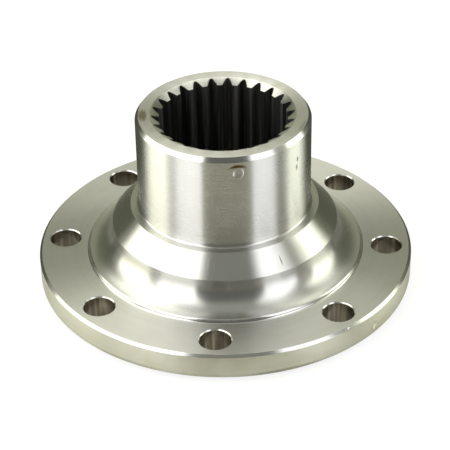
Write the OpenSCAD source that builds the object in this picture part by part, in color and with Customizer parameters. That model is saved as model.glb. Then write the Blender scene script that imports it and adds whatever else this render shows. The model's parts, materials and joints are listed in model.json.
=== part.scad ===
// Driveshaft flange: a forged and turned companion flange in one piece.
// A splined hub stands on a round bolting flange and a stepped shoulder joins the two.
// The origin is the centre of the mating face, and +Z runs along the axis towards the hub's end.

/* [Flange] */
// Outer diameter of the bolting flange
flange_d = 150; // [135:1:180]
// Thickness of the flange, from the mating face to its top face
flange_t = 10.5; // [8:0.5:16]
// Chamfer on the flange's top edge
rim_top_edge = 1; // [0.2:0.1:2]
// Chamfer on the flange's bottom edge
rim_bottom_edge = 0.6; // [0.2:0.1:2]

/* [Bolt holes] */
// Number of bolt holes
bolt_n = 8; // [4:1:12]
// Distance of a bolt hole's centre from the flange's outer edge
bolt_inset = 10; // [8:0.5:14]
// Diameter of a bolt hole
bolt_d = 12.1; // [8:0.1:13]
// Chamfer at both mouths of a bolt hole
bolt_edge = 0.4; // [0.1:0.1:0.8]
// Room for a bolt's head, from the hole's centre in to the step
bolt_head_room = 10; // [8:0.5:14]

/* [Centring spigot] */
// Diameter of the spigot that centres the flange on its mate
spigot_d = 90; // [76:1:110]
// Length of the spigot below the mating face
spigot_h = 2.3; // [1.2:0.1:4]
// Chamfer on the spigot's edge
spigot_edge = 0.5; // [0.1:0.1:1]

/* [Step round the shoulder] */
// Height of the step above the flange
step_h = 1.5; // [1:0.1:3]
// Chamfer on the step's top edge
step_edge = 0.5; // [0.1:0.1:0.8]
// Fillet at the foot of the step
step_foot_r = 0.8; // [0.2:0.1:0.9]

/* [Shoulder] */
// Diameter of the shoulder's ridge
shoulder_d = 90; // [80:1:98]
// Height of the ridge above the flange
shoulder_h = 12.5; // [10:0.5:16]
// Largest fillet that sweeps from the step up to the shoulder's wall
shoulder_fillet_r = 9; // [4:0.5:10]
// Width of the flat ledge round the hub's foot
ledge_w = 3.25; // [1.5:0.25:6]
// Height of the ledge above the flange
ledge_h = 20.4; // [18:0.2:24]

/* [Hub] */
// Diameter of the hub, which a shaft seal runs on
hub_d = 68.5; // [64:0.5:76]
// Height of the hub's end above the flange
hub_h = 60.2; // [50:0.2:80]
// Fillet between the ledge and the hub
hub_foot_r = 1; // [0.2:0.1:1.2]
// Width of the chamfer on the hub's end, measured across the end face
hub_edge_w = 1.3; // [0.5:0.1:2]
// Height of the chamfer on the hub's end, measured along the hub
hub_edge_h = 1.8; // [0.5:0.1:3]

/* [Spline] */
// Module of the spline
spline_module = 2; // [1.8:0.05:2.1]
// Number of teeth
spline_n = 26; // [22:1:28]
// Pressure angle of the spline, in degrees
pressure_angle = 30; // [28:0.5:33]
// Turn of the first tooth space from the first bolt hole, in degrees
spline_turn = -0.5; // [-7:0.1:7]
// Width of the lead-in chamfer outside the tooth spaces
lead_in_w = 0.6; // [0.2:0.1:1.5]
// Slope of the lead-in chamfer from the end face, in degrees
lead_in_angle = 30; // [20:1:45]

/* [Nut recess] */
// Diameter of the recess for the shaft's nut
nut_recess_d = 62; // [61:0.5:66]
// Depth of the recess above the mating face
nut_recess_h = 22; // [14:0.5:24]
// Chamfer at the recess's mouth
nut_recess_edge = 1; // [0.2:0.1:2]

/* [Hardness test mark] */
// Diameter of the ball that was pressed into the hub
ball_d = 10; // [5:0.5:12]
// Depth of the mark below the hub's surface
mark_depth = 0.7; // [0.2:0.1:1]
// Distance of the mark's centre below the hub's end
mark_from_end = 6.6; // [5:0.2:24]
// Turn of the mark from the first bolt hole, in degrees
mark_turn = 12; // [-180:1:180]

/* [Hidden] */
$fn = 144;

// How far a cutting shape runs past the face that it cuts
past = 1;
// The first bolt hole lies on the -Y side
first_hole = -90;

flange_r = flange_d / 2;
spigot_r = spigot_d / 2;
bolt_circle_r = flange_r - bolt_inset;
step_r = bolt_circle_r - bolt_head_room;
shoulder_r = shoulder_d / 2;
hub_r = hub_d / 2;
ledge_r = hub_r + ledge_w;
nut_recess_r = nut_recess_d / 2;

step_z = flange_t + step_h;
shoulder_z = flange_t + shoulder_h;
ledge_z = flange_t + ledge_h;
hub_z = flange_t + hub_h;

// The shoulder's fillet ends short of the step's chamfer and of the ridge
sweep_r = min(shoulder_fillet_r, step_r - step_edge - shoulder_r, shoulder_h - step_h);

// Involute spline with rounded bottoms: its circles follow from the module and the number of teeth
pitch_r = spline_module * spline_n / 2;
base_r = pitch_r * cos(pressure_angle);
tip_r = spline_module * (spline_n - 1) / 2;
root_r = spline_module * (spline_n + 1.8) / 2;
root_fillet_r = 0.4 * spline_module;
lead_in_r = root_r + lead_in_w;
// Half of the angle that a tooth space takes at the pitch circle
half_space = 360 / spline_n / 4;
// The flanks run from inside the tooth tips to where the rounded bottom takes over
flank_low_r = tip_r - 0.25 * spline_module;
flank_top_r = root_r - root_fillet_r / 2;
flank_steps = 3;
round_steps = 4;
// Angle that the rounded bottom covers to each side of the space's centre line
round_half = 60;

function involute(a) = tan(a) * 180 / PI - a;
function half_angle(r) = half_space + involute(pressure_angle) - involute(acos(base_r / r));
function polar(r, a) = [r * cos(a), r * sin(a)];

// One flank of a tooth space, from inside the tooth tips out to the rounded bottom
function flank(side) = [
    for (i = [0 : flank_steps])
        let (r = flank_low_r + i / flank_steps * (flank_top_r - flank_low_r))
        polar(r, side * half_angle(r))
];

// The rounded bottom of a tooth space
function rounded_bottom() = [
    for (i = [0 : round_steps])
        let (a = round_half * (1 - 2 * i / round_steps))
        [root_r - root_fillet_r, 0] + polar(root_fillet_r, a)
];

function reversed(list) = [for (i = [len(list) - 1 : -1 : 0]) list[i]];

// A tooth space of the spline, pointing along +X
module tooth_space() {
    polygon(concat(flank(1), rounded_bottom(), reversed(flank(-1))));
}

// The spline's cut: the circle inside the tooth tips with every tooth space round it
module spline_section() {
    circle(r = tip_r);
    for (i = [0 : spline_n - 1])
        rotate(first_hole + spline_turn + i * 360 / spline_n)
            tooth_space();
}

// The metal between two faces that meet at a concave fillet of radius r
module corner_fill(x, z, r) {
    difference() {
        translate([x, z])
            square(r);
        translate([x + r, z + r])
            circle(r = r);
    }
}

// Half of the turned section, from the axis outwards
module turned_section() {
    polygon([
        [0, -spigot_h],
        [spigot_r - spigot_edge, -spigot_h],
        [spigot_r, -spigot_h + spigot_edge],
        [spigot_r, 0],
        [flange_r - rim_bottom_edge, 0],
        [flange_r, rim_bottom_edge],
        [flange_r, flange_t - rim_top_edge],
        [flange_r - rim_top_edge, flange_t],
        [step_r, flange_t],
        [step_r, step_z - step_edge],
        [step_r - step_edge, step_z],
        [shoulder_r, step_z],
        [shoulder_r, shoulder_z],
        [ledge_r, ledge_z],
        [hub_r, ledge_z],
        [hub_r, hub_z - hub_edge_h],
        [hub_r - hub_edge_w, hub_z],
        [0, hub_z]
    ]);
    corner_fill(step_r, flange_t, step_foot_r);
    corner_fill(shoulder_r, step_z, sweep_r);
    corner_fill(hub_r, ledge_z, hub_foot_r);
}

// The spline, cut right through the hub
module spline_cut() {
    translate([0, 0, nut_recess_h - past])
        linear_extrude(hub_z - nut_recess_h + 2 * past)
            spline_section();
}

// The lead-in chamfer at the hub's end
module lead_in_cut() {
    depth = lead_in_r * tan(lead_in_angle);
    rotate_extrude()
        polygon([[0, hub_z - depth], [lead_in_r, hub_z], [lead_in_r, hub_z + past], [0, hub_z + past]]);
}

// The recess for the shaft's nut, open at the mating side
module nut_recess_cut() {
    mouth_r = nut_recess_r + nut_recess_edge;
    rotate_extrude()
        polygon([
            [0, -spigot_h - past],
            [mouth_r, -spigot_h - past],
            [mouth_r, -spigot_h],
            [nut_recess_r, -spigot_h + nut_recess_edge],
            [nut_recess_r, nut_recess_h],
            [0, nut_recess_h]
        ]);
}

// One bolt hole with a chamfer at each mouth
module bolt_hole_cut() {
    r = bolt_d / 2;
    mouth_r = r + bolt_edge;
    rotate_extrude()
        polygon([
            [0, -past],
            [mouth_r, -past],
            [mouth_r, 0],
            [r, bolt_edge],
            [r, flange_t - bolt_edge],
            [mouth_r, flange_t],
            [mouth_r, flange_t + past],
            [0, flange_t + past]
        ]);
}

module bolt_hole_cuts() {
    for (i = [0 : bolt_n - 1])
        rotate(first_hole + i * 360 / bolt_n)
            translate([bolt_circle_r, 0, 0])
                bolt_hole_cut();
}

// The round mark that the hardness test's ball left in the hub
module test_mark_cut() {
    ball_r = ball_d / 2;
    rotate(first_hole + mark_turn)
        translate([hub_r + ball_r - mark_depth, 0, hub_z - mark_from_end])
            sphere(r = ball_r);
}

module drive_flange() {
    color([0.74, 0.74, 0.71])
        difference() {
            rotate_extrude()
                turned_section();
            spline_cut();
            lead_in_cut();
            nut_recess_cut();
            bolt_hole_cuts();
            test_mark_cut();
        }
}

drive_flange();
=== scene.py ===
"""Driveshaft flange: the finely turned body with its finishes and small marks, in a light tent.

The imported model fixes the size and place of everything. This script turns a finer skin of the same
form, gives each stretch of it the finish that its tool left, and sets the tent's light and the camera.
"""

import json
import logging
import math
from collections.abc import Sequence
from dataclasses import dataclass, field
from enum import Enum

import bmesh
import bpy
from mathutils import Matrix, Vector
from mathutils.kdtree import KDTree


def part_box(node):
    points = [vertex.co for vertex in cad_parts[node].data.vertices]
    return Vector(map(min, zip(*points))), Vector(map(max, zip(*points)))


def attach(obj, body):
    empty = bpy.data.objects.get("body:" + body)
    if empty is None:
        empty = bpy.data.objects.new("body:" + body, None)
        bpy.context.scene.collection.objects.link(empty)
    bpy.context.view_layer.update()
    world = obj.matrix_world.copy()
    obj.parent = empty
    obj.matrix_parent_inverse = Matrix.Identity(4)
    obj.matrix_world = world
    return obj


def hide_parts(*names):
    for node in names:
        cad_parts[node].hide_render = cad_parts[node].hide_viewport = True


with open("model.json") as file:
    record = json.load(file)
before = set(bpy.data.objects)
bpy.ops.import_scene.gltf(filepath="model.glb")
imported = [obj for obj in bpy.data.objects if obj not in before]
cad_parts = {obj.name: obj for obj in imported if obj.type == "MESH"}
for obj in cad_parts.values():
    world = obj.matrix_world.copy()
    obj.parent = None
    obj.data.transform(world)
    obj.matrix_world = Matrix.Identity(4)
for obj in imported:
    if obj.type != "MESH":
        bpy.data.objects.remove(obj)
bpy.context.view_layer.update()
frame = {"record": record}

MM = 0.001
PART_NODE = "drive_flange"

# Radii that marks, stains and the rim's painted shade are placed by, in millimetres
HUB_R = 34.25
END_R = 31.6
RIM_R = 75.0

# How fine the patterns in the steel are, per millimetre. The coarse rings are a share of the fine ones
CLOUD_SCALE = 0.09
COARSE_SHARE = 0.22
STREAK_SCALE = 0.42
STREAK_FLATTEN = (1.0, 1.0, 0.04)
STAIN_AND_SHADE_EDGE_SCALE = 1.6

# How strongly the patterns act on the roughness, the colour and the relief
CLOUD_ROUGHNESS = 0.10
RING_ROUGHNESS = 0.06
CLOUD_RISE = (0.45, 0.75)
STREAK_RISE = (0.42, 0.68)
STREAK_LIGHT = 4.0
LINE_GAIN = 3.0
LINE_DARK = 0.55
FINE_RELIEF, COARSE_RELIEF = 0.7, 0.3
STAIN_AND_SHADE_FADE = (1.15, 0.55)

# The widest angle that one face of a rounded corner covers, in degrees, and the arcs' size classes
EDGE_ARC, FILLET_ARC, SWEEP_ARC = 30.0, 12.0, 4.5
LARGEST_EDGE, SMALLEST_SWEEP = 0.5, 2.0

# Distances in millimetres at which points are one point, or lie on a plane
MERGED = 1e-3
LEVEL = 1e-4
SHARP_ANGLE = 36.0

log = logging.getLogger("flange")

Number = float | int


class Zone(Enum):
    """The stretches of the skin that one tool finished, in the order of the material slots."""

    HUB = 0
    SHOULDER = 1
    FACE = 2
    RIM = 3
    HOLE = 4
    SPLINE = 5
    UNDERSIDE = 6
    EDGE = 7
    END = 8


class Value:
    """A number in a shader, which takes part in Python's own maths."""

    def __init__(self, graph: "Graph", socket: bpy.types.NodeSocket) -> None:
        """Wraps an output socket.

        Args:
            graph: The node tree that the socket is in.
            socket: The output that holds the number.
        """
        self.graph = graph
        self.socket = socket

    def math(self, operation: str, *others: "Value | Number") -> "Value":
        """Adds one Math node.

        Args:
            operation: Blender's name of the operation.
            others: The operation's further inputs.

        Returns:
            The node's result.
        """
        made = self.graph.node("ShaderNodeMath", {"operation": operation}, (self, *others))
        return Value(self.graph, made.outputs[0])

    def __add__(self, other: "Value | Number") -> "Value":
        """Sum."""
        return self.math("ADD", other)

    def __radd__(self, other: Number) -> "Value":
        """Sum with a plain number on the left."""
        return self.math("ADD", other)

    def __sub__(self, other: "Value | Number") -> "Value":
        """Difference."""
        return self.math("SUBTRACT", other)

    def __rsub__(self, other: Number) -> "Value":
        """Difference with a plain number on the left."""
        return (self * -1.0) + other

    def __mul__(self, other: "Value | Number") -> "Value":
        """Product."""
        return self.math("MULTIPLY", other)

    def __rmul__(self, other: Number) -> "Value":
        """Product with a plain number on the left."""
        return self.math("MULTIPLY", other)

    def __neg__(self) -> "Value":
        """The number with its sign turned."""
        return self * -1.0

    def __abs__(self) -> "Value":
        """The number without its sign."""
        return self.math("ABSOLUTE")

    def power(self, exponent: Number) -> "Value":
        """The number raised to a power."""
        return self.math("POWER", exponent)

    def largest(self, other: "Value | Number") -> "Value":
        """The higher of two numbers."""
        return self.math("MAXIMUM", other)

    def rise(self, start: Number, end: Number) -> "Value":
        """Goes smoothly from 0 to 1.

        Args:
            start: Where the rise begins.
            end: Where it has reached 1. It may lie below start.

        Returns:
            The smooth step.
        """
        low, high = min(start, end), max(start, end)
        to_low, to_high = (0.0, 1.0) if end > start else (1.0, 0.0)
        settings = {"data_type": "FLOAT", "interpolation_type": "SMOOTHSTEP"}
        made = self.graph.node("ShaderNodeMapRange", settings, (self, low, high, to_low, to_high))
        return Value(self.graph, made.outputs[0])


class Graph:
    """A node tree, with one method that adds any node."""

    def __init__(self, tree: bpy.types.NodeTree) -> None:
        """Empties the tree and keeps it.

        Args:
            tree: The node tree of a material or of the world.
        """
        self.tree = tree
        tree.nodes.clear()

    def node(
        self,
        kind: str,
        settings: dict[str, object] | None = None,
        inputs: Sequence[object] | dict[str, object] = (),
    ) -> bpy.types.Node:
        """Adds a node, sets its options first and then its sockets.

        Args:
            kind: Blender's type name of the node.
            settings: The node's own options.
            inputs: What goes into the sockets, in their order or by their names.

        Returns:
            The new node.
        """
        made = self.tree.nodes.new(kind)
        for name, option in (settings or {}).items():
            setattr(made, name, option)
        named = inputs.items() if isinstance(inputs, dict) else enumerate(inputs)
        for key, given in named:
            if given is None:
                continue
            socket = made.inputs[key]
            if isinstance(given, Value):
                self.tree.links.new(given.socket, socket)
            elif isinstance(given, bpy.types.NodeSocket):
                self.tree.links.new(given, socket)
            else:
                socket.default_value = given
        return made

    def value(self, socket: bpy.types.NodeSocket) -> Value:
        """Wraps an output socket for maths."""
        return Value(self, socket)

    def mix(self, factor: Value | Number, low: object, high: object) -> bpy.types.NodeSocket:
        """Mixes two colours.

        Args:
            factor: The share of the second colour.
            low: The first colour, as three numbers or a socket.
            high: The second colour, as three numbers or a socket.

        Returns:
            The socket with the mixed colour.
        """
        low, high = ((*c, 1.0) if isinstance(c, tuple) else c for c in (low, high))
        inputs = [None] * 8
        inputs[0], inputs[6], inputs[7] = factor, low, high
        settings = {"data_type": "RGBA", "clamp_factor": True}
        return self.node("ShaderNodeMix", settings, inputs).outputs[2]

    def noise(
        self, where: bpy.types.NodeSocket, scale: float, detail: float = 2.0, rough: float = 0.5
    ) -> Value:
        """Adds a noise pattern.

        Args:
            where: The vector that it is read at.
            scale: How fine it is.
            detail: How many finer layers it has.
            rough: How strong the finer layers are.

        Returns:
            The noise, from 0 to 1 with a mean of one half.
        """
        inputs = {"Vector": where, "Scale": scale, "Detail": detail, "Roughness": rough}
        made = self.node("ShaderNodeTexNoise", {"noise_dimensions": "3D"}, inputs)
        return self.value(made.outputs["Fac"])


@dataclass(frozen=True)
class TurnedPlace:
    """The turned coordinates of a shading point, in millimetres and degrees."""

    radius: Value
    height: Value
    angle: Value
    lay: bpy.types.NodeSocket
    point: bpy.types.NodeSocket

    @staticmethod
    def read(graph: Graph) -> "TurnedPlace":
        """Works the coordinates out from Object coordinates.

        Args:
            graph: The material's node tree.

        Returns:
            Radius, height and angle from the front hole, a vector that runs along the tool's lay,
            and the plain point in millimetres.
        """
        found = graph.node("ShaderNodeTexCoord").outputs["Object"]
        enlarged = {"Vector": found, "Scale": 1 / MM}
        point = graph.node("ShaderNodeVectorMath", {"operation": "SCALE"}, enlarged)
        parts = graph.node("ShaderNodeSeparateXYZ", {}, (point.outputs[0],)).outputs
        x, y, z = (graph.value(p) for p in parts)
        radius = (x * x + y * y).power(0.5)
        angle = x.math("ARCTAN2", -y) * math.degrees(1.0)
        lay = graph.node("ShaderNodeCombineXYZ", {}, (radius, z, 0.0)).outputs[0]
        return TurnedPlace(radius, z, angle, lay, point.outputs[0])


@dataclass(frozen=True)
class Finish:
    """A steel surface as one tool left it.

    The highlight is stretched across the tool's round marks. Their depth is in millimetres and their
    scale per millimetre. The shares say how much tarnish, dark rings and upright streaks show. Stains,
    and on the rim a band of painted shade, are laid over the colour.
    """

    name: str
    steel: tuple[float, float, float]
    tarnish: tuple[float, float, float]
    roughness: float
    stretch: float
    groove_depth: float
    groove_scale: float = 5.0
    metallic: float = 1.0
    specular: float = 0.5
    tarnish_share: float = 0.35
    line_share: float = 0.05
    streaks: float = 0.0
    stains_and_shade: tuple["Stain", ...] = ()

    def material(self) -> bpy.types.Material:
        """Builds the finish as a material.

        Returns:
            The material.
        """
        made = bpy.data.materials.new(self.name)
        made.use_nodes = True
        graph = Graph(made.node_tree)
        place = TurnedPlace.read(graph)
        cloud = graph.noise(place.point, CLOUD_SCALE, 3.0)
        rings = graph.noise(place.lay, self.groove_scale, 1.0)
        coarse = graph.noise(place.lay, self.groove_scale * COARSE_SHARE, 1.0)
        spread = (cloud - 0.5) * CLOUD_ROUGHNESS + (coarse - 0.5) * RING_ROUGHNESS
        colour = graph.mix(cloud.rise(*CLOUD_RISE) * self.tarnish_share, self.steel, self.tarnish)
        lines = (coarse - 0.5) * (LINE_GAIN * self.line_share)
        colour = graph.mix(lines.largest(0.0), colour, tuple(LINE_DARK * c for c in self.tarnish))
        if self.streaks:
            both = (place.point, STREAK_FLATTEN)
            flat = graph.node("ShaderNodeVectorMath", {"operation": "MULTIPLY"}, both)
            upright = graph.noise(flat.outputs[0], STREAK_SCALE, 3.0, 0.55).rise(*STREAK_RISE)
            light = tuple(STREAK_LIGHT * c for c in self.steel)
            colour = graph.mix(upright * self.streaks, colour, light)
        # Stains, and on the rim a band of painted shade, are laid over the steel's colour
        for stain_or_shade in self.stains_and_shade:
            colour = graph.mix(stain_or_shade.mask(graph, place), colour, stain_or_shade.colour)
        relief = rings * FINE_RELIEF + coarse * COARSE_RELIEF
        grooves = {"Strength": 1.0, "Distance": self.groove_depth * MM, "Height": relief}
        bump = graph.node("ShaderNodeBump", {}, grooves)
        inputs = {
            "Base Color": colour,
            "Metallic": self.metallic,
            "Roughness": spread + self.roughness,
            "Specular IOR Level": self.specular,
            "Anisotropic": self.stretch,
            "Anisotropic Rotation": 0.25,
            "Normal": bump.outputs[0],
        }
        shader = graph.node("ShaderNodeBsdfPrincipled", {}, inputs)
        graph.node("ShaderNodeOutputMaterial", {}, {"Surface": shader.outputs[0]})
        return made


@dataclass(frozen=True)
class Dent:
    """A small mark that was pressed or knocked into the steel.

    The angle is measured round the axis from the front bolt hole to the right, in degrees. Lengths
    are in millimetres, and tilt is how far the mark's direction points up. The lip is the ridge that
    was raised round the mark, or a groove where it is below 0. Tall is the mark's height as a share
    of its width, and hardness rises as its walls get softer.
    """

    name: str
    angle: float
    radius: float
    height: float
    width: float
    depth: float
    lip: float = 0.0
    tilt: float = 0.0
    tall: float = 1.0
    hardness: int = 2
    fineness: float = 0.24
    lip_at: float = 1.12
    lip_width: float = 0.16
    fade_at: float = 1.7
    rounds: int = 9

    def centre(self) -> Vector:
        """The mark's middle."""
        turn = math.radians(self.angle)
        return Vector((self.radius * math.sin(turn), -self.radius * math.cos(turn), self.height))

    def outwards(self) -> Vector:
        """The direction that the marked surface faces."""
        turn, rise = math.radians(self.angle), math.radians(self.tilt)
        flat = math.cos(rise)
        return Vector((math.sin(turn) * flat, -math.cos(turn) * flat, math.sin(rise)))

    def aside(self) -> Vector:
        """The level direction along the marked surface."""
        turn = math.radians(self.angle)
        return Vector((math.cos(turn), math.sin(turn), 0))

    def offset(self, place: Vector) -> tuple[float, Vector]:
        """Works out how far a point is from the middle, as a share of the width.

        Args:
            place: The point.

        Returns:
            The share, and how the point moves.
        """
        out, aside = self.outwards(), self.aside()
        along = out.cross(aside)
        off = place - self.centre()
        share = math.hypot(off.dot(aside), off.dot(along) / self.tall) / self.width
        bowl = -self.depth * (1 - share * share) ** self.hardness if share < 1 else 0.0
        ridge = self.lip * math.exp(-(((share - self.lip_at) / self.lip_width) ** 2))
        return share, out * (bowl + ridge)

    def press(self, bm: bmesh.types.BMesh) -> None:
        """Makes the mesh finer round the mark and moves it.

        Args:
            bm: The mesh, in millimetres.
        """
        reach = self.width * max(1.0, self.tall) * self.fade_at
        middle, aside = self.centre(), self.aside()
        along = self.outwards().cross(aside)
        for way, side in ((aside, 1), (aside, -1), (along, 1), (along, -1)):
            near = [f for f in bm.faces if self._touches(f, reach)]
            parts = dict.fromkeys(part for f in near for part in (f, *f.edges, *f.verts))
            cut = middle + way * reach * side
            bmesh.ops.bisect_plane(bm, geom=list(parts), plane_co=cut, plane_no=way)
        finest = self.width * self.fineness
        for _ in range(self.rounds):
            near = [f for f in bm.faces if self._touches(f, reach * 0.98)]
            long = dict.fromkeys(e for f in near for e in f.edges if e.calc_length() > finest)
            long = [e for e in long if all((v.co - middle).length < reach * 1.6 for v in e.verts)]
            if not long:
                break
            bmesh.ops.subdivide_edges(bm, edges=long, cuts=1, use_grid_fill=True)
        for vert in bm.verts:
            if (vert.co - middle).length < reach * 1.5:
                share, move = self.offset(vert.co)
                if share < self.fade_at:
                    vert.co += move

    def _touches(self, face: bmesh.types.BMFace, reach: float) -> bool:
        """Tells whether a face comes near the mark and faces the same way."""
        middle = self.centre()
        if face.normal.dot(self.outwards()) < 0.75:
            return False
        spread = [v.co - middle for v in face.verts]
        low = [min(p[i] for p in spread) for i in range(3)]
        high = [max(p[i] for p in spread) for i in range(3)]
        return all(a < reach and b > -reach for a, b in zip(low, high))


@dataclass(frozen=True)
class Stain:
    """A discoloured spot or streak on a turned surface, or a band of painted shade.

    Its place is an angle from the front bolt hole, in degrees, and a height in millimetres, or a
    radius on a flat face. Its colour is laid over the steel's. The bow bends it up at its ends.
    """

    angle: float
    at: float
    half_wide: float
    half_tall: float
    colour: tuple[float, float, float]
    strength: float
    radius: float = HUB_R
    bow: float = 0.0
    flat: bool = False
    ragged: float = 0.5

    def mask(self, graph: Graph, place: "TurnedPlace") -> Value:
        """Builds the mask of the stain or painted shade.

        Args:
            graph: The material's node tree.
            place: The turned coordinates.

        Returns:
            The mask, from 0 to the strength of the stain or painted shade.
        """
        across = (place.angle - self.angle) * math.radians(self.radius)
        along = (place.radius if self.flat else place.height) - self.at
        along = along + across * across * self.bow
        x, y = across * (1 / self.half_wide), along * (1 / self.half_tall)
        edge = (graph.noise(place.point, STAIN_AND_SHADE_EDGE_SCALE, 2.0) - 0.5) * self.ragged
        return ((x * x + y * y).power(0.5) + edge).rise(*STAIN_AND_SHADE_FADE) * self.strength


@dataclass(frozen=True)
class Corner:
    """A corner of the turned outline and the finish of the stretch that follows it."""

    radius: float
    height: float
    fillet: float
    zone: Zone | None


@dataclass
class TurnedBody:
    """The whole flange as a skin that is turned, drilled and broached like the real one.

    Lengths are in millimetres. The outline runs from the spline's lead-in out over the hub, down the
    shoulder, round the flange and up the nut recess.
    """

    name: str = "drive_flange_skin"
    hub_z: float = field(init=False)
    hub_r: float = field(init=False)
    hub_edge_w: float = 1.3
    hub_edge_h: float = 1.8
    ledge_w: float = 3.25
    ledge_z: float = 30.9
    hub_foot_r: float = 1.0
    shoulder_r: float = 45.0
    shoulder_z: float = 23.0
    step_r: float = 55.0
    step_z: float = 12.0
    sweep_r: float = 9.0
    step_edge: float = 0.5
    step_foot_r: float = 0.8
    flange_r: float = field(init=False)
    flange_t: float = 10.5
    rim_top_edge: float = 1.0
    rim_bottom_edge: float = 0.6
    spigot_r: float = field(init=False)
    spigot_h: float = field(init=False)
    spigot_edge: float = 0.5
    nut_recess_r: float = field(init=False)
    nut_recess_z: float = 22.0
    nut_recess_edge: float = 1.0
    bolt_circle_r: float = field(init=False)
    bolt_n: int = field(init=False)
    hole_r: float = field(init=False)
    hole_edge: float = 0.4
    module: float = 2.0
    teeth: int = 26
    pressure_angle: float = 30.0
    spline_turn: float = -0.5
    root_past_pitch: float = 1.8
    bottom_share: float = 0.4
    bottom_half: float = 60.0
    tip_r: float = field(init=False)
    root_r: float = field(init=False)
    lead_in_r: float = field(init=False)
    lead_in_w: float = 0.6
    lead_in_angle: float = 30.0
    edge_break: float = 0.12
    segments: int = 520
    hole_segments: int = 96
    mesh: bmesh.types.BMesh = field(default_factory=bmesh.new)

    def __post_init__(self) -> None:
        """Takes what the record states from the record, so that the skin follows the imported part."""
        mounts = {m["name"]: m["dims"] for m in frame["record"]["mounts"]}
        self.hub_r = mounts["hub_seal_surface"]["r_mm"]
        self.spigot_r = mounts["centring_spigot"]["r_mm"]
        self.nut_recess_r = mounts["nut_recess"]["r_mm"]
        self.bolt_circle_r = mounts["bolts"]["pcd_mm"] / 2
        self.bolt_n = mounts["bolts"]["count"]
        self.hole_r = mounts["bolts"]["hole_r_mm"]
        low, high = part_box(PART_NODE)
        self.flange_r = high.x / MM
        self.hub_z = high.z / MM
        self.spigot_h = -low.z / MM
        self.tip_r = self.module * (self.teeth - 1) / 2
        self.root_r = self.module * (self.teeth + self.root_past_pitch) / 2
        self.lead_in_r = self.root_r + self.lead_in_w

    def outline(self) -> list[Corner]:
        """Lists the corners of the turned section.

        Returns:
            The corners in order. A stretch with no zone is left open for a face with holes.
        """
        brk = self.edge_break
        ledge_r = self.hub_r + self.ledge_w
        top = self.flange_t
        recess_mouth_r = self.nut_recess_r + self.nut_recess_edge
        return [
            Corner(self.lead_in_r, self.hub_z, 0, Zone.END),
            Corner(self.hub_r - self.hub_edge_w, self.hub_z, brk, Zone.EDGE),
            Corner(self.hub_r, self.hub_z - self.hub_edge_h, brk, Zone.HUB),
            Corner(self.hub_r, self.ledge_z, self.hub_foot_r, Zone.SHOULDER),
            Corner(ledge_r, self.ledge_z, brk, Zone.SHOULDER),
            Corner(self.shoulder_r, self.shoulder_z, brk, Zone.SHOULDER),
            Corner(self.shoulder_r, self.step_z, self.sweep_r, Zone.SHOULDER),
            Corner(self.step_r - self.step_edge, self.step_z, brk, Zone.EDGE),
            Corner(self.step_r, self.step_z - self.step_edge, brk, Zone.EDGE),
            Corner(self.step_r, top, self.step_foot_r, None),
            Corner(self.flange_r - self.rim_top_edge, top, brk, Zone.EDGE),
            Corner(self.flange_r, top - self.rim_top_edge, brk, Zone.RIM),
            Corner(self.flange_r, self.rim_bottom_edge, brk, Zone.EDGE),
            Corner(self.flange_r - self.rim_bottom_edge, 0, brk, None),
            Corner(self.spigot_r, 0, 0, Zone.UNDERSIDE),
            Corner(self.spigot_r, self.spigot_edge - self.spigot_h, brk, Zone.UNDERSIDE),
            Corner(self.spigot_r - self.spigot_edge, -self.spigot_h, brk, Zone.UNDERSIDE),
            Corner(recess_mouth_r, -self.spigot_h, brk, Zone.UNDERSIDE),
            Corner(self.nut_recess_r, self.nut_recess_edge - self.spigot_h, brk, Zone.UNDERSIDE),
            Corner(self.nut_recess_r, self.nut_recess_z, 0, Zone.UNDERSIDE),
            Corner(self.lead_in_r, self.nut_recess_z, 0, None),
        ]

    @staticmethod
    def rounded(before: Vector, corner: Vector, after: Vector, fillet: float) -> list[Vector]:
        """Rounds one corner of an outline.

        Args:
            before: The corner before it.
            corner: The corner.
            after: The corner after it.
            fillet: The arc's radius, or 0 for a sharp corner.

        Returns:
            The points along the arc, or the corner alone.
        """
        if not fillet:
            return [corner]
        back, ahead = (before - corner).normalized(), (after - corner).normalized()
        half = math.acos(max(-1.0, min(1.0, back.dot(ahead)))) / 2
        centre = corner + (back + ahead).normalized() * (fillet / math.sin(half))
        start = corner + back * (fillet / math.tan(half)) - centre
        end = corner + ahead * (fillet / math.tan(half)) - centre
        turn = math.pi - 2 * half
        finest = FILLET_ARC
        if fillet < LARGEST_EDGE:
            finest = EDGE_ARC
        elif fillet > SMALLEST_SWEEP:
            finest = SWEEP_ARC
        steps = max(2, math.ceil(turn / math.radians(finest)))
        spread = [i / steps for i in range(steps + 1)]
        return [
            centre + (start * math.sin((1 - s) * turn) + end * math.sin(s * turn)) / math.sin(turn)
            for s in spread
        ]

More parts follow.
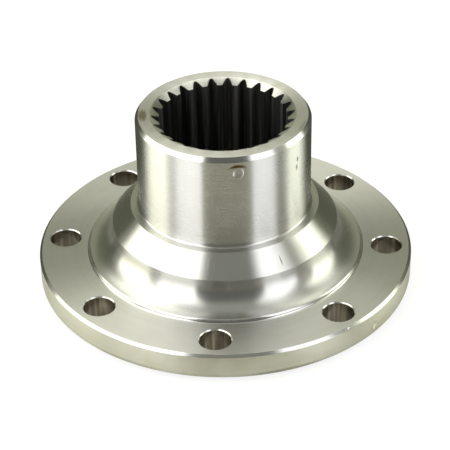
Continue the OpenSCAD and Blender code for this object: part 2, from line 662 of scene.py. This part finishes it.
    def spin(
        self, stretches: Sequence[tuple[Sequence[Vector], Zone]], centre: Vector, steps: int
    ) -> bmesh.types.BMesh:
        """Turns stretches of an outline round an upright axis, all in one go.

        Args:
            stretches: The lines, each as radius and height from the axis, with their finish.
            centre: Where the axis stands.
            steps: How many faces go round.

        Returns:
            The turned faces as a mesh of their own, with their zones.
        """
        bm = bmesh.new()
        zones = {}
        geometry = []
        for points, zone in stretches:
            line = [bm.verts.new((centre.x, centre.y - p.x, p.y)) for p in points]
            geometry += line + [bm.edges.new(pair) for pair in zip(line, line[1:])]
            for one, other in zip(points, points[1:]):
                middle = (one + other) / 2
                zones[round(middle.x, 2), round(middle.y, 2)] = zone
        bmesh.ops.spin(
            bm,
            geom=geometry,
            cent=centre,
            axis=(0, 0, 1),
            dvec=(0, 0, 0),
            angle=math.tau,
            steps=steps,
            use_merge=True,
            use_normal_flip=False,
            use_duplicate=False,
        )
        places = list(zones)
        tree = KDTree(len(places))
        for index, (radius, height) in enumerate(places):
            tree.insert((radius, height, 0), index)
        tree.balance()
        for face in bm.faces:
            reach = [Vector(((v.co.xy - centre.xy).length, v.co.z, 0)) for v in face.verts]
            middle = sum(reach, Vector((0, 0, 0))) / len(reach)
            face.material_index = zones[places[tree.find(middle)[1]]].value
        return bm

    @staticmethod
    def repeat(bm: bmesh.types.BMesh, geometry: Sequence[object], count: int) -> None:
        """Repeats geometry evenly round the part's axis.

        Args:
            bm: The mesh that holds it.
            geometry: What is repeated.
            count: How many there are in the end.
        """
        bmesh.ops.spin(
            bm,
            geom=list(geometry),
            cent=(0, 0, 0),
            axis=(0, 0, 1),
            dvec=(0, 0, 0),
            angle=math.tau * (count - 1) / count,
            steps=count - 1,
            use_merge=False,
            use_normal_flip=False,
            use_duplicate=True,
        )

    def join(self, made: bmesh.types.BMesh) -> None:
        """Adds a mesh to the skin and frees it."""
        carrier = bpy.data.meshes.new("carrier")
        made.to_mesh(carrier)
        made.free()
        self.mesh.from_mesh(carrier)
        bpy.data.meshes.remove(carrier)

    def turn(self) -> None:
        """Turns every stretch of the outline that has no holes."""
        corners = self.outline()
        places = [Vector((c.radius, c.height)) for c in corners]
        arcs = []
        for i, corner in enumerate(corners):
            around = places[max(i - 1, 0)], places[i], places[min(i + 1, len(places) - 1)]
            arcs.append(self.rounded(*around, corner.fillet))
        stretches = []
        for i, corner in enumerate(corners[:-1]):
            zone_before = corners[i - 1].zone if i else corner.zone
            if len(arcs[i]) > 1:
                stretches.append((arcs[i], zone_before or corner.zone))
            if corner.zone is not None:
                stretches.append(([arcs[i][-1], arcs[i + 1][0]], corner.zone))
        self.join(self.spin(stretches, Vector((0, 0, 0)), self.segments))

    def drill(self) -> None:
        """Turns the wall and both chamfers of a bolt hole, and repeats them round the bolt circle."""
        mouth = self.hole_r + self.hole_edge
        section = [
            Vector((mouth, self.flange_t)),
            Vector((self.hole_r, self.flange_t - self.hole_edge)),
            Vector((self.hole_r, self.hole_edge)),
            Vector((mouth, 0)),
        ]
        stretches = [(section[:2], Zone.EDGE), (section[1:3], Zone.HOLE), (section[2:], Zone.EDGE)]
        bm = self.spin(stretches, Vector((0, -self.bolt_circle_r, 0)), self.hole_segments)
        self.repeat(bm, [*bm.verts, *bm.edges, *bm.faces], self.bolt_n)
        self.join(bm)

    def fill_face(self, height: float, zone: Zone) -> None:
        """Fills a flat face between the rings and hole mouths that lie open at one height.

        Args:
            height: The face's height.
            zone: Its finish.
        """
        bm = self.mesh
        done = len(bm.faces)
        edges = [
            e for e in bm.edges
            if len(e.link_faces) == 1 and all(abs(v.co.z - height) < LEVEL for v in e.verts)
        ]
        bmesh.ops.triangle_fill(bm, use_beauty=True, use_dissolve=False, edges=edges, normal=(0, 0, 1))
        bm.faces.ensure_lookup_table()
        for index in range(done, len(bm.faces)):
            bm.faces[index].material_index = zone.value

    def tooth_line(self) -> list[Vector]:
        """Works out one pitch of the spline: half a tooth tip, a flank, a rounded bottom, and back.

        Returns:
            The points as radius and angle from the middle of the tooth space, in radians.
        """
        pitch_r = self.module * self.teeth / 2
        slant = math.radians(self.pressure_angle)
        base_r = pitch_r * math.cos(slant)
        round_r = self.bottom_share * self.module
        low_r, top_r = self.tip_r, self.root_r - round_r / 2
        flank_steps, round_steps, tip_steps = 4, 8, 2

        def involute(a: float) -> float:
            """The involute function of an angle in radians."""
            return math.tan(a) - a

        def half_angle(r: float) -> float:
            """Half of the angle that the tooth space takes at a radius."""
            at_pitch = math.tau / self.teeth / 4
            return at_pitch + involute(slant) - involute(math.acos(base_r / r))

        radii = [low_r + (top_r - low_r) * i / flank_steps for i in range(flank_steps + 1)]
        flank = [Vector((r, half_angle(r))) for r in radii]
        bottom = []
        for i in range(1, round_steps):
            a = math.radians(self.bottom_half) * (1 - 2 * i / round_steps)
            x, y = self.root_r - round_r + round_r * math.cos(a), round_r * math.sin(a)
            bottom.append(Vector((math.hypot(x, y), math.atan2(y, x))))
        half_pitch = math.pi / self.teeth
        across = half_angle(low_r) - half_pitch
        tip = [Vector((low_r, half_pitch + across * i / tip_steps)) for i in range(tip_steps)]
        side = tip + flank
        back = [Vector((p.x, -p.y)) for p in reversed(side)]
        return side + bottom + back

    def broach(self) -> None:
        """Cuts the spline: its walls, the lead-in chamfer over the tooth ends and the ring below."""
        bm = bmesh.new()
        slope = math.tan(math.radians(self.lead_in_angle))
        first = math.radians(self.spline_turn - 90)
        row = []
        for radius, angle in self.tooth_line():
            z = self.hub_z - (self.lead_in_r - radius) * slope
            turn = first + angle
            row.append(bm.verts.new((radius * math.cos(turn), radius * math.sin(turn), z)))
        edges = [bm.edges.new(pair) for pair in zip(row, row[1:])]
        self.repeat(bm, row + edges, self.teeth)
        bmesh.ops.remove_doubles(bm, verts=bm.verts, dist=MERGED)
        loop = list(bm.edges)
        walls = bmesh.ops.extrude_edge_only(bm, edges=loop)["geom"]
        for vert in (g for g in walls if isinstance(g, bmesh.types.BMVert)):
            vert.co.z = self.nut_recess_z
        for face in bm.faces:
            face.material_index = Zone.SPLINE.value
        foot = [g for g in walls if isinstance(g, bmesh.types.BMEdge)]
        self.bridge(bm, loop, self.hub_z, Zone.SHOULDER)
        self.bridge(bm, foot, self.nut_recess_z, Zone.UNDERSIDE)
        self.join(bm)

    def bridge(
        self, bm: bmesh.types.BMesh, loop: list[bmesh.types.BMEdge], height: float, zone: Zone
    ) -> None:
        """Joins the spline's outline to the ring round its lead-in.

        Args:
            bm: The mesh that holds the outline.
            loop: The outline's edges.
            height: The ring's height.
            zone: The finish of the faces between them.
        """
        place = Matrix.Translation((0, 0, height))
        circle = bmesh.ops.create_circle(
            bm, segments=self.segments, radius=self.lead_in_r, matrix=place
        )
        ring = list(dict.fromkeys(e for v in circle["verts"] for e in v.link_edges))
        for face in bmesh.ops.bridge_loops(bm, edges=loop + ring)["faces"]:
            face.material_index = zone.value

    def put_in_order(self) -> None:
        """Sorts the mesh by place, because the operators list what they make differently each run."""
        bm = self.mesh
        for elements, key in (
            (bm.verts, lambda vert: tuple(vert.co)),
            (bm.edges, lambda edge: sorted(v.index for v in edge.verts)),
            (bm.faces, lambda face: sorted(v.index for v in face.verts)),
        ):
            for index, element in enumerate(sorted(elements, key=key)):
                element.index = index
            elements.sort()

    def build(self) -> bpy.types.Object:
        """Makes the whole skin.

        Returns:
            The skin's object, in metres, with its place in its mesh.
        """
        bm = self.mesh
        self.turn()
        log.info("turned: %d faces", len(bm.faces))
        self.drill()
        log.info("drilled: %d faces", len(bm.faces))
        self.broach()
        log.info("broached: %d faces", len(bm.faces))
        bmesh.ops.remove_doubles(bm, verts=bm.verts, dist=MERGED)
        self.fill_face(self.flange_t, Zone.FACE)
        self.fill_face(0.0, Zone.UNDERSIDE)
        bmesh.ops.recalc_face_normals(bm, faces=bm.faces)
        self.put_in_order()
        for dent in DENTS:
            dent.press(bm)
            log.info("%s: %d faces", dent.name, len(bm.faces))
        self.put_in_order()
        loose = [e for e in bm.edges if len(e.link_faces) != 2]
        log.info("skin: %d faces, %d edges not shared by two faces", len(bm.faces), len(loose))
        bmesh.ops.scale(bm, vec=(MM, MM, MM), verts=bm.verts)
        data = bpy.data.meshes.new(self.name)
        bm.to_mesh(data)
        bm.free()
        return self.shade(data)

    def shade(self, data: bpy.types.Mesh) -> bpy.types.Object:
        """Shades the skin smooth, with its corners kept sharp and the flats kept flat.

        Args:
            data: The skin's mesh.

        Returns:
            The object, with the weighted normals applied.
        """
        data.shade_smooth()
        data.set_sharp_from_angle(angle=math.radians(SHARP_ANGLE))
        skin = bpy.data.objects.new(self.name, data)
        bpy.context.scene.collection.objects.link(skin)
        weighted = skin.modifiers.new("weighted", "WEIGHTED_NORMAL")
        weighted.mode = "FACE_AREA"
        weighted.keep_sharp = True
        bpy.context.view_layer.update()
        solved = skin.evaluated_get(bpy.context.evaluated_depsgraph_get())
        skin.data = bpy.data.meshes.new_from_object(solved)
        skin.modifiers.clear()
        skin.data.name = self.name
        return skin

    def dress(self, skin: bpy.types.Object) -> None:
        """Gives each zone its finish.

        Args:
            skin: The skin's object.
        """
        for zone in Zone:
            skin.data.materials.append(FINISHES[zone].material())


STEEL = (0.63, 0.628, 0.612)
STRAW = (0.57, 0.56, 0.52)
BROWN = (0.16, 0.10, 0.04)
MOSS = (0.19, 0.16, 0.08)
# The dark of the painted shade round the rim's foot
SHADE_UMBER = (0.13, 0.11, 0.06)
SOOT = (0.10, 0.10, 0.09)
SCUFF = (0.78, 0.77, 0.74)
BRIGHT_SCUFF = (0.80, 0.79, 0.76)

HUB_STAINS = (
    Stain(12.3, 67.2, 3.7, 0.75, BROWN, 1.0, bow=0.075),
    Stain(-6.5, 55.0, 0.5, 2.2, SCUFF, 0.5),
    Stain(-4.0, 52.6, 0.6, 2.8, SCUFF, 0.55),
    Stain(-0.6, 48.4, 0.5, 2.6, SCUFF, 0.4),
    Stain(58.5, 61.4, 0.4, 1.3, SOOT, 0.7),
    Stain(57.6, 58.1, 0.4, 1.5, SOOT, 0.6),
)
END_STAINS = (
    Stain(-84.0, 31.3, 4.6, 1.9, MOSS, 0.8, END_R, flat=True, ragged=1.6),
    Stain(74.0, 32.2, 4.5, 0.8, SOOT, 0.35, END_R, flat=True, ragged=1.6),
)
FACE_STAINS = (Stain(-111.6, 62.0, 2.2, 1.6, STRAW, 0.5, 62.0, flat=True),)
# Painted shade: a dark band round the rim's foot stands in for the contact shadow at its bottom edge
RIM_FOOT_PAINTED_SHADE = (
    Stain(0.0, 0.9, 300.0, 0.8, SHADE_UMBER, 0.10, RIM_R),
    Stain(21.0, 1.0, 16.0, 0.9, SHADE_UMBER, 0.40, RIM_R),
    Stain(-27.0, 1.0, 15.0, 0.8, SHADE_UMBER, 0.26, RIM_R),
)
SHOULDER_STAINS = (
    Stain(34.1, 42.0, 0.35, 1.6, SOOT, 0.6, 42.0, flat=True),
    Stain(-5.5, 40.6, 0.5, 1.8, BRIGHT_SCUFF, 0.5, 40.6, flat=True),
    Stain(-2.4, 41.5, 0.4, 1.5, BRIGHT_SCUFF, 0.4, 41.5, flat=True),
)
DENTS = (
    Dent("hardness_mark", 12.0, HUB_R, 64.1, width=1.75, depth=0.30, lip=0.06, tall=1.1, hardness=1),
    Dent("hardness_mark_ring", 12.0, HUB_R, 64.1, width=2.45, depth=0.0, lip=-0.10, tall=1.1),
    Dent("hub_pit_high", 58.5, HUB_R, 61.4, width=0.42, depth=0.12, lip=0.03, tall=1.9),
    Dent("hub_pit_low", 57.6, HUB_R, 58.1, width=0.42, depth=0.12, lip=0.03, tall=2.1),
    Dent("rim_dent", 53.0, RIM_R, 4.1, width=1.5, depth=0.55, lip=0.12, tall=1.2),
    Dent("rim_nick", -16.1, RIM_R, 8.6, width=0.7, depth=0.10, lip=0.02),
    Dent("rim_edge_nick", 42.0, 74.5, 10.0, width=0.6, depth=0.06, tilt=45.0),
)

FINISHES = {
    Zone.HUB: Finish(
        "ground_hub", STEEL, STRAW, roughness=0.28, stretch=1.0, groove_depth=0.00005,
        groove_scale=2.5, line_share=0.02, stains_and_shade=HUB_STAINS,
    ),
    Zone.SHOULDER: Finish(
        "turned_shoulder", STEEL, STRAW, roughness=0.25, stretch=1.0, groove_depth=0.0005,
        groove_scale=3.0, line_share=0.04, stains_and_shade=SHOULDER_STAINS,
    ),
    Zone.FACE: Finish(
        "faced_steel", (0.52, 0.515, 0.49), (0.46, 0.45, 0.40), roughness=0.42, stretch=0.85,
        groove_depth=0.002, line_share=0.15, stains_and_shade=FACE_STAINS,
    ),
    Zone.RIM: Finish(
        "turned_rim", (0.57, 0.56, 0.48), (0.49, 0.47, 0.37), roughness=0.36, stretch=0.8,
        groove_depth=0.003, tarnish_share=0.6, stains_and_shade=RIM_FOOT_PAINTED_SHADE,
    ),
    Zone.HOLE: Finish(
        "drilled_wall", (0.33, 0.30, 0.25), (0.17, 0.15, 0.12), roughness=0.24, stretch=0.0,
        groove_depth=0.002, streaks=0.40,
    ),
    # Painted shade: the spline's near-black, dull colour stands in for the shade deep in the bore
    Zone.SPLINE: Finish(
        "broached_spline_painted_shade", (0.016, 0.016, 0.015), (0.006, 0.006, 0.006), roughness=0.45, stretch=0.0,
        groove_depth=0.0, metallic=0.0, specular=0.2, streaks=1.0,
    ),
    Zone.EDGE: Finish("cut_edge", STEEL, STRAW, roughness=0.19, stretch=0.8, groove_depth=0.001),
    Zone.UNDERSIDE: Finish(
        "faced_underside", STEEL, STRAW, roughness=0.34, stretch=1.0, groove_depth=0.004
    ),
    Zone.END: Finish(
        "faced_end", (0.60, 0.595, 0.57), (0.52, 0.51, 0.46), roughness=0.44, stretch=0.72,
        groove_depth=0.002, line_share=0.10, stains_and_shade=END_STAINS,
    ),
}


@dataclass(frozen=True)
class Panel:
    """A lit or dark stretch of the tent, by direction as seen from the part, in degrees.

    Azimuth 0 points at the camera and grows to the right. Height is measured from the horizon, and
    the tent's lower half mirrors the upper one, as a pale table does.
    """

    name: str
    azimuth: tuple[float, float]
    height: tuple[float, float]
    level: float
    tint: tuple[float, float, float] = (1.0, 1.0, 1.0)
    soft: tuple[float, float] = (4.0, 6.0)
    cover: float = 1.0
    mirrored: bool = True


@dataclass
class Studio:
    """The light tent, the pale floor and the camera."""

    azimuth: float = 3.885
    elevation: float = 34.545
    roll: float = 0.9986
    distance: float = 700.08
    focal_px: float = 1727.2
    frame_px: float = 450.0
    sensor: float = 36.0
    aim_x: float = -0.009
    aim_z: float = 18.34
    clip: tuple[float, float] = (0.01, 50.0)
    below: float = 0.68
    horizon: tuple[float, float] = (2.0, -6.0)
    streaks: float = 0.38
    streak_scale: float = 0.30
    streak_rise: tuple[float, float] = (0.35, 0.75)
    map_resolution: int = 1024
    floor_r: float = 3000.0
    near_floor_r: float = 93.0
    near_floor_lift: float = 0.02
    floor_gap: float = 0.03
    floor_segments: int = 128
    floor_glow: float = 1.15
    floor_veil: float = 0.72
    floor_colour: tuple[float, float, float, float] = (0.88, 0.88, 0.86, 1.0)
    base_level: float = 0.55
    base_tint: tuple[float, float, float] = (0.98, 1.0, 0.84)

    def panels(self) -> list[Panel]:
        """Lists the tent's stretches, each painted over those before it."""
        warm = (1.0, 1.0, 0.88)
        olive = (0.95, 1.0, 0.70)
        sand = (1.0, 0.97, 0.72)
        return [
            Panel("left_wall", (-113, -28), (-90, 67), 2.7, (1.0, 1.0, 0.96), (5, 9)),
            Panel("left_wall_far", (-113, -76), (-90, 40), 3.2, (0.99, 1.0, 0.83), (8, 12)),
            Panel("left_back_roof", (-188, -105), (44, 69), 1.9, warm, (10, 7)),
            Panel("back_roof", (160, 208), (42, 66), 2.95, warm, (12, 6)),
            Panel("right_wall_near", (35.5, 69), (-90, 61), 2.3, (0.99, 1.0, 1.0), (6, 8)),
            Panel("right_roof", (58, 155), (59, 71), 1.05, warm, (14, 6)),
            Panel("right_wall_far", (87, 119), (-90, 44), 2.9, (0.97, 1.0, 0.84), (6, 10)),
            Panel("right_back_roof", (102, 134), (35, 50), 1.5, warm, (12, 6)),
            Panel("left_seam", (-75, -65), (-90, 26), 0.8, warm, (6, 30), 0.9),
            Panel("left_seam_low", (-75, -64), (-90, -3), 1.2, warm, (5, 8), 1.0, False),
            Panel("right_seam", (69, 86), (-90, 40), 0.55, warm, (7, 20)),
            Panel("back_sides", (122, 238), (-90, 38.5), 0.16, olive, (10, 8)),
            Panel("right_back_edge", (115, 130), (2, 36), 0.25, olive, (8, 8), 1.0, False),
            Panel("back_middle", (160, 200), (4, 36), 0.5, olive, (14, 8), 1.0, False),
            Panel("camera_slit", (-27.6, 35.0), (-90, 52), 0.155, (0.98, 1.0, 0.94), (2.5, 24)),
            Panel("slit_floor", (-27.6, 35.0), (-90, -12), 0.86, sand, (2.5, 16), 1.0, False),
        ]

    def hang_tent(self) -> None:
        """Builds the tent as the world's light, and shows the camera a plain white behind the floor."""
        world = bpy.data.worlds.new("light_tent")
        bpy.context.scene.world = world
        world.use_nodes = True
        graph = Graph(world.node_tree)
        found = graph.node("ShaderNodeTexCoord").outputs["Generated"]
        x, y, z = (graph.value(s) for s in graph.node("ShaderNodeSeparateXYZ", {}, (found,)).outputs)
        height = z.math("ARCSINE") * math.degrees(1.0)
        level = abs(height)
        light = tuple(self.base_level * c for c in self.base_tint)
        for panel in self.panels():
            mask = self._azimuth_mask(x, y, panel)
            low, high = panel.height
            reach = level if panel.mirrored else height
            if low > -90:
                mask = mask * reach.rise(low - panel.soft[1] / 2, low + panel.soft[1] / 2)
            mask = mask * reach.rise(high + panel.soft[1] / 2, high - panel.soft[1] / 2) * panel.cover
            light = graph.mix(mask, light, tuple(panel.level * c for c in panel.tint))
        azimuth = x.math("ARCTAN2", -y) * math.degrees(1.0)
        around = graph.node("ShaderNodeCombineXYZ", {}, (azimuth, 0.0, 0.0)).outputs[0]
        lines = graph.noise(around, self.streak_scale, 5.0, 0.7).rise(*self.streak_rise)
        black = (0.0, 0.0, 0.0)
        light = graph.mix(lines * self.streaks, light, black)
        shaded = graph.mix(height.rise(*self.horizon) * (1 - self.below), light, black)
        seen = graph.value(graph.node("ShaderNodeLightPath").outputs["Is Camera Ray"])
        shown = graph.mix(seen, shaded, (1.0, 1.0, 1.0))
        sky = graph.node("ShaderNodeBackground", {}, {"Color": shown, "Strength": 1.0})
        graph.node("ShaderNodeOutputWorld", {}, {"Surface": sky.outputs[0]})
        world.cycles.sampling_method = "MANUAL"
        world.cycles.sample_map_resolution = self.map_resolution

    def _azimuth_mask(self, x: Value, y: Value, panel: Panel) -> Value:
        """Masks the directions whose azimuth lies in a panel.

        Args:
            x: The direction's first coordinate.
            y: The direction's second coordinate.
            panel: The panel.

        Returns:
            The mask, from 0 to 1.
        """
        middle = sum(panel.azimuth) / 2
        half = (panel.azimuth[1] - panel.azimuth[0]) / 2
        turn = math.radians(self.azimuth + middle)
        ahead = x * math.sin(turn) - y * math.cos(turn)
        aside = x * math.cos(turn) + y * math.sin(turn)
        off = abs(aside.math("ARCTAN2", ahead)) * math.degrees(1.0)
        return off.rise(half + panel.soft[0] / 2, half - panel.soft[0] / 2)

    def lay_floor(self) -> list[bpy.types.Object]:
        """Makes the plain pale floor that the part stands on.

        The tent's light already holds what the far floor mirrors, so only the near disc shows in the
        steel.

        Returns:
            The far floor and the near disc.
        """
        low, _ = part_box(PART_NODE)
        paint = self.floor_paint()
        pieces = []
        for name, radius, lift in (
            ("floor", self.floor_r, 0.0),
            ("near_floor", self.near_floor_r, self.near_floor_lift),
        ):
            bm = bmesh.new()
            segments = self.floor_segments
            bmesh.ops.create_circle(bm, cap_ends=True, segments=segments, radius=radius * MM)
            height = low.z + (lift - self.floor_gap) * MM
            bmesh.ops.translate(bm, vec=(0, 0, height), verts=bm.verts)
            data = bpy.data.meshes.new(name)
            bm.to_mesh(data)
            bm.free()
            data.materials.append(paint)
            piece = bpy.data.objects.new(name, data)
            bpy.context.scene.collection.objects.link(piece)
            pieces.append(piece)
        pieces[0].visible_glossy = False
        return pieces

    def floor_paint(self) -> bpy.types.Material:
        """Makes the floor's plain white, which hardly shows the contact shadow to the camera.

        Returns:
            The material.
        """
        paint = bpy.data.materials.new("pale_floor")
        paint.use_nodes = True
        graph = Graph(paint.node_tree)
        matt = graph.node("ShaderNodeBsdfDiffuse", {}, {"Color": self.floor_colour})
        white = {"Color": (1.0, 1.0, 1.0, 1.0), "Strength": self.floor_glow}
        glow = graph.node("ShaderNodeEmission", {}, white)
        seen = graph.value(graph.node("ShaderNodeLightPath").outputs["Is Camera Ray"])
        shaders = (seen * self.floor_veil, matt.outputs[0], glow.outputs[0])
        blend = graph.node("ShaderNodeMixShader", {}, shaders)
        graph.node("ShaderNodeOutputMaterial", {}, {"Surface": blend.outputs[0]})
        return paint

    def place_camera(self) -> bpy.types.Object:
        """Places the camera where the photograph was taken from.

        Its place was measured from the middle of the flange's top face.

        Returns:
            The camera.
        """
        turn = Matrix.Rotation(math.radians(self.azimuth), 3, "Z")
        rise = math.radians(self.elevation)
        lift = self.distance * math.sin(rise) + TurnedBody.flange_t
        place = Vector((0, -self.distance * math.cos(rise), lift))
        aim = Vector((self.aim_x, 0, self.aim_z))
        back = (place - aim).normalized()
        right = Vector((0, 0, 1)).cross(back).normalized()
        axes = Matrix((right, back.cross(right), back)).transposed()
        tilt = Matrix.Rotation(math.radians(-self.roll), 3, "Z")
        data = bpy.data.cameras.new("camera")
        data.sensor_width = self.sensor
        data.lens = self.focal_px / self.frame_px * self.sensor
        data.clip_start, data.clip_end = self.clip
        camera = bpy.data.objects.new("camera", data)
        bpy.context.scene.collection.objects.link(camera)
        camera.matrix_world = Matrix.Translation(turn @ place * MM) @ (turn @ axes @ tilt).to_4x4()
        bpy.context.scene.camera = camera
        return camera

    def set_view(self) -> None:
        """Shows plain light values, so that white stays white."""
        view = bpy.context.scene.view_settings
        view.view_transform = "Standard"
        view.look = "None"


def main() -> None:
    """Builds the studio and the part, piece by piece."""
    logging.basicConfig(level=logging.INFO, format="%(name)s: %(message)s")
    studio = Studio()
    studio.place_camera()
    studio.hang_tent()
    studio.set_view()
    log.info("stage: %s", ", ".join(piece.name for piece in studio.lay_floor()))
    body = TurnedBody()
    skin = body.build()
    body.dress(skin)
    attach(skin, "root")
    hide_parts(PART_NODE)
    log.info("piece %s: %d faces", skin.name, len(skin.data.polygons))


if __name__ == "__main__":
    main()
